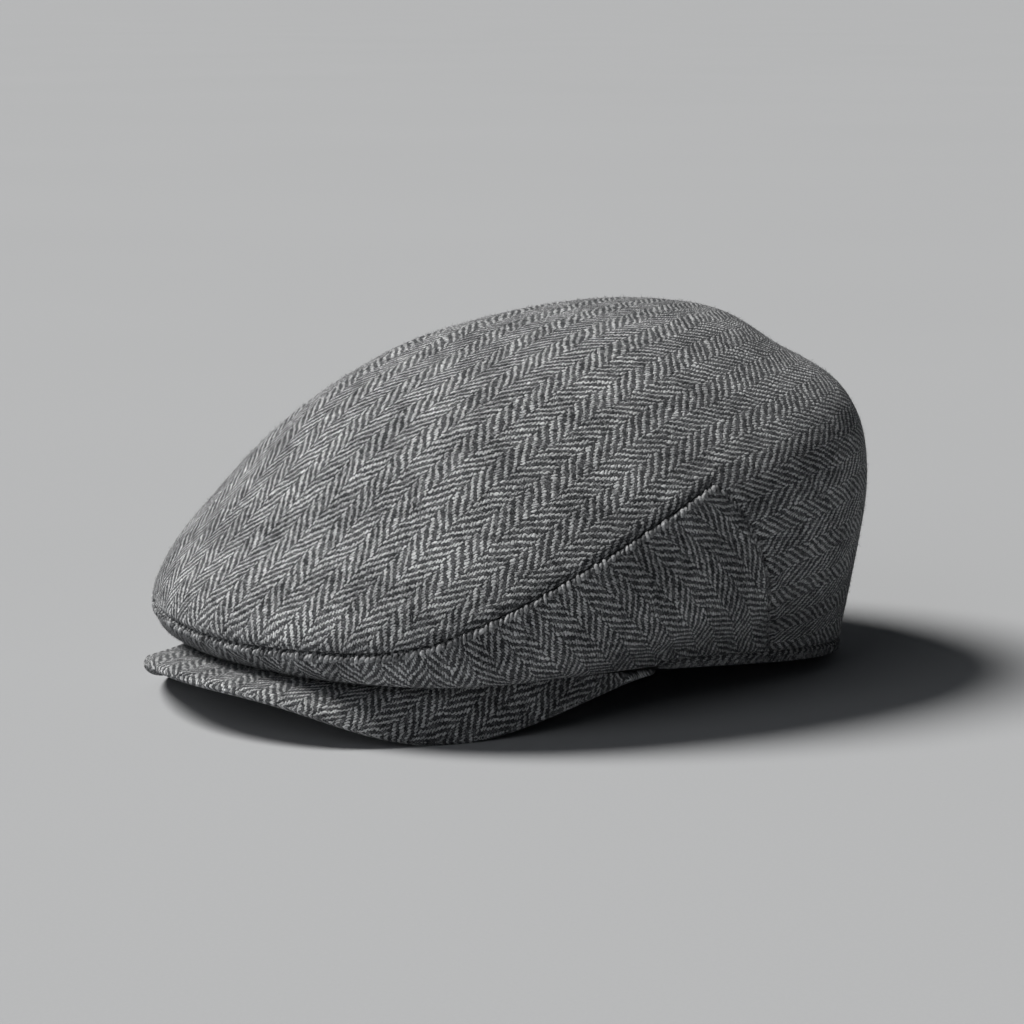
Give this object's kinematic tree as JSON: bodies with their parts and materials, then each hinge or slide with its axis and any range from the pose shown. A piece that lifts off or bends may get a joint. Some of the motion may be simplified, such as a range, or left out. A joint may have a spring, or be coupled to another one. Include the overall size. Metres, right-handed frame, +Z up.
{
  "type": "flat cap",
  "caption": "Herringbone wool flat cap with a rounded one-piece crown, a side band, an arched stiff peak and a narrow turned hem, resting on its peak and back rim.",
  "frame": {"origin": "middle of the space that the cap takes up, on the surface that it rests on", "axes": "+Z up, the front and its peak face -Y, the wearer's left is +X"},
  "size_m": [0.2083, 0.2662, 0.1245],
  "materials": {
    "crown_wool": "brushed herringbone wool",
    "band_wool": "brushed herringbone wool",
    "peak_wool": "herringbone wool over a stiff board",
    "hem_wool": "turned wool edge"
  },
  "bodies": {
    "root": {"crown_panel": "crown_wool", "side_band": "band_wool", "peak": "peak_wool", "rim_hem": "hem_wool"}
  },
  "joints": []
}
